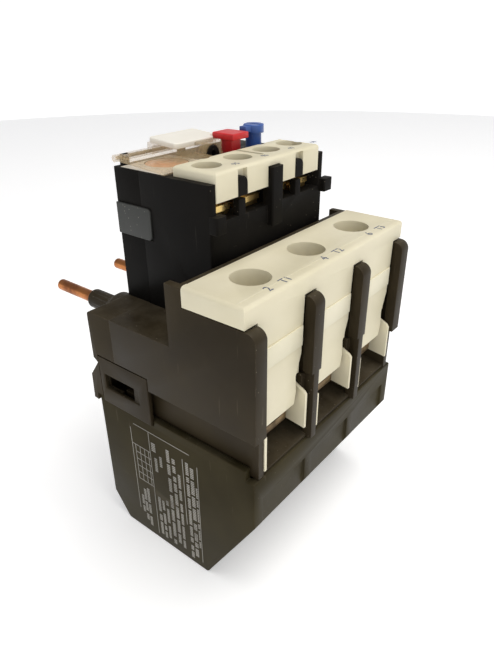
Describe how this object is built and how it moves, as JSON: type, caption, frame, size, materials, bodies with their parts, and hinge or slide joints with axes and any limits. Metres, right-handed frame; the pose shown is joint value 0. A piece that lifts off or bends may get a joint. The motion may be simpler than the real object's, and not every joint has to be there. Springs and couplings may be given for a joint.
{
  "type": "motor protection breaker",
  "caption": "Plug-on motor protection unit: stepped black case, cream terminal covers, contactor prongs, stop and reset buttons and a clear hinged dial cover.",
  "frame": {"origin": "centre of width on the flat rear face that the unit rests on (z = 0)", "axes": "+Z out of the front panel, +Y towards the contactor along the prongs, +X from the first pole to the third"},
  "size_m": [0.07, 0.0861, 0.1122],
  "materials": {
    "housing": "moulded, satin, worn at the edges",
    "case_black": "moulded, satin",
    "clip_grey": "satin",
    "cover_cream": "moulded, satin",
    "copper": "bare copper, oxidised",
    "steel": "zinc plated",
    "brass": "bare",
    "red": "satin gloss",
    "blue": "satin gloss",
    "dial_orange": "satin",
    "clear": "clear moulding, yellowed",
    "label_white": "satin"
  },
  "bodies": {
    "base": {"lower_housing": "housing", "terminal_housing": "housing", "rear_cover": "housing", "snap_clip_left": "housing", "snap_clip_right": "housing", "mechanism_case": "case_black", "mechanism_rear_cover": "case_black", "aux_shutters": "case_black", "case_side_clip": "clip_grey", "terminal_cover": "cover_cream", "aux_terminal_cover": "cover_cream", "contactor_prong_1": "copper", "bimetal_strip_1": "steel", "heater_winding_1": "steel", "load_busbar_1": "copper", "wire_shield_1": "cover_cream", "contactor_prong_2": "copper", "bimetal_strip_2": "steel", "heater_winding_2": "steel", "load_busbar_2": "copper", "wire_shield_2": "cover_cream", "contactor_prong_3": "copper", "bimetal_strip_3": "steel", "heater_winding_3": "steel", "load_busbar_3": "copper", "wire_shield_3": "cover_cream", "aux_contact_plates": "brass", "stop_spring": "steel", "reset_spring": "steel", "cover_hinge_pin": "steel", "scale_plate": "label_white", "lever_pivot": "steel", "fixed_contacts": "brass", "housing_screws": "steel"},
    "dial_cover_body": {"dial_cover": "clear", "marker_label": "label_white"},
    "stop_body": {"stop_button": "red"},
    "reset_slide_body": {"reset_plunger": "blue"},
    "reset_knob_body": {"reset_knob": "blue"},
    "dial_body": {"setting_dial": "dial_orange"},
    "slider_body": {"trip_slider": "label_white"},
    "lever_body": {"trip_lever": "label_white"},
    "bridge_body": {"contact_bridge": "brass"},
    "power_screw_body_1": {"terminal_screw_1": "steel"},
    "cage_body_1": {"terminal_cage_1": "steel"},
    "power_screw_body_2": {"terminal_screw_2": "steel"},
    "cage_body_2": {"terminal_cage_2": "steel"},
    "power_screw_body_3": {"terminal_screw_3": "steel"},
    "cage_body_3": {"terminal_cage_3": "steel"},
    "aux_screw_body_1": {"aux_screw_1": "brass"},
    "aux_clamp_body_1": {"aux_clamp_1": "brass"},
    "aux_screw_body_2": {"aux_screw_2": "brass"},
    "aux_clamp_body_2": {"aux_clamp_2": "brass"},
    "aux_screw_body_3": {"aux_screw_3": "brass"},
    "aux_clamp_body_3": {"aux_clamp_3": "brass"},
    "aux_screw_body_4": {"aux_screw_4": "brass"},
    "aux_clamp_body_4": {"aux_clamp_4": "brass"}
  },
  "joints": [
    {"name": "dial_cover_hinge", "type": "hinge", "parent": "base", "child": "dial_cover_body", "pos_m": [-0.0082, 0.0225, 0.1074], "axis": [-1, 0, 0], "range_deg": [0, 110]},
    {"name": "stop_press", "type": "slide", "parent": "base", "child": "stop_body", "axis": [0, 0, -1], "range_m": [0, 0.002], "stiffness_N_per_m": 300, "springref_m": -0.003, "deforming": ["stop_spring"]},
    {"name": "reset_press", "type": "slide", "parent": "base", "child": "reset_slide_body", "axis": [0, 0, -1], "range_m": [0, 0.002], "stiffness_N_per_m": 300, "springref_m": -0.003, "deforming": ["reset_spring"]},
    {"name": "reset_turn", "type": "hinge", "parent": "reset_slide_body", "child": "reset_knob_body", "pos_m": [0.0152, 0.0084, 0.111], "axis": [0, 0, 1], "range_deg": [0, 90]},
    {"name": "dial_turn", "type": "hinge", "parent": "base", "child": "dial_body", "pos_m": [-0.011, 0.0154, 0.105], "axis": [0, 0, 1], "range_deg": [-135, 135]},
    {"name": "trip_slide", "type": "slide", "parent": "base", "child": "slider_body", "axis": [1, 0, 0], "range_m": [0, 0.0015]},
    {"name": "trip_rock", "type": "hinge", "parent": "base", "child": "lever_body", "pos_m": [0.0172, -0.001, 0.079], "axis": [0, -1, 0], "range_deg": [0, 12.4]},
    {"name": "contact_shift", "type": "slide", "parent": "base", "child": "bridge_body", "axis": [-1, 0, 0], "range_m": [0, 0.0015]},
    {"name": "cage_lift_1", "type": "slide", "parent": "base", "child": "cage_body_1", "axis": [0, 0, 1], "range_m": [0, 0.004]},
    {"name": "power_screw_turn_1", "type": "hinge", "parent": "base", "child": "power_screw_body_1", "pos_m": [-0.0219, -0.0198, 0.07], "axis": [0, 0, -1], "range_deg": [0, 1153]},
    {"name": "cage_lift_2", "type": "slide", "parent": "base", "child": "cage_body_2", "axis": [0, 0, 1], "range_m": [0, 0.004]},
    {"name": "power_screw_turn_2", "type": "hinge", "parent": "base", "child": "power_screw_body_2", "pos_m": [0, -0.0198, 0.07], "axis": [0, 0, -1], "range_deg": [0, 1153]},
    {"name": "cage_lift_3", "type": "slide", "parent": "base", "child": "cage_body_3", "axis": [0, 0, 1], "range_m": [0, 0.004]},
    {"name": "power_screw_turn_3", "type": "hinge", "parent": "base", "child": "power_screw_body_3", "pos_m": [0.0219, -0.0198, 0.07], "axis": [0, 0, -1], "range_deg": [0, 1153]},
    {"name": "aux_clamp_drop_1", "type": "slide", "parent": "base", "child": "aux_clamp_body_1", "axis": [0, 0, -1], "range_m": [0, 0.0006]},
    {"name": "aux_screw_turn_1", "type": "hinge", "parent": "aux_clamp_body_1", "child": "aux_screw_body_1", "pos_m": [-0.0153, -0.0021, 0.1], "axis": [0, 0, -1], "range_deg": [0, 360.5]},
    {"name": "aux_clamp_drop_2", "type": "slide", "parent": "base", "child": "aux_clamp_body_2", "axis": [0, 0, -1], "range_m": [0, 0.0006]},
    {"name": "aux_screw_turn_2", "type": "hinge", "parent": "aux_clamp_body_2", "child": "aux_screw_body_2", "pos_m": [-0.0043, -0.0021, 0.1], "axis": [0, 0, -1], "range_deg": [0, 360.5]},
    {"name": "aux_clamp_drop_3", "type": "slide", "parent": "base", "child": "aux_clamp_body_3", "axis": [0, 0, -1], "range_m": [0, 0.0006]},
    {"name": "aux_screw_turn_3", "type": "hinge", "parent": "aux_clamp_body_3", "child": "aux_screw_body_3", "pos_m": [0.007, -0.0021, 0.1], "axis": [0, 0, -1], "range_deg": [0, 360.5]},
    {"name": "aux_clamp_drop_4", "type": "slide", "parent": "base", "child": "aux_clamp_body_4", "axis": [0, 0, -1], "range_m": [0, 0.0006]},
    {"name": "aux_screw_turn_4", "type": "hinge", "parent": "aux_clamp_body_4", "child": "aux_screw_body_4", "pos_m": [0.017, -0.0021, 0.1], "axis": [0, 0, -1], "range_deg": [0, 360.5]}
  ],
  "couplings": [
    {"joint": "trip_rock", "follows": "trip_slide", "rad_per_m": 142.5},
    {"joint": "contact_shift", "follows": "trip_slide", "ratio": 1},
    {"joint": "power_screw_turn_1", "follows": "cage_lift_1", "rad_per_m": 5026.5},
    {"joint": "power_screw_turn_2", "follows": "cage_lift_2", "rad_per_m": 5026.5},
    {"joint": "power_screw_turn_3", "follows": "cage_lift_3", "rad_per_m": 5026.5},
    {"joint": "aux_screw_turn_1", "follows": "aux_clamp_drop_1", "rad_per_m": 10472},
    {"joint": "aux_screw_turn_2", "follows": "aux_clamp_drop_2", "rad_per_m": 10472},
    {"joint": "aux_screw_turn_3", "follows": "aux_clamp_drop_3", "rad_per_m": 10472},
    {"joint": "aux_screw_turn_4", "follows": "aux_clamp_drop_4", "rad_per_m": 10472}
  ]
}
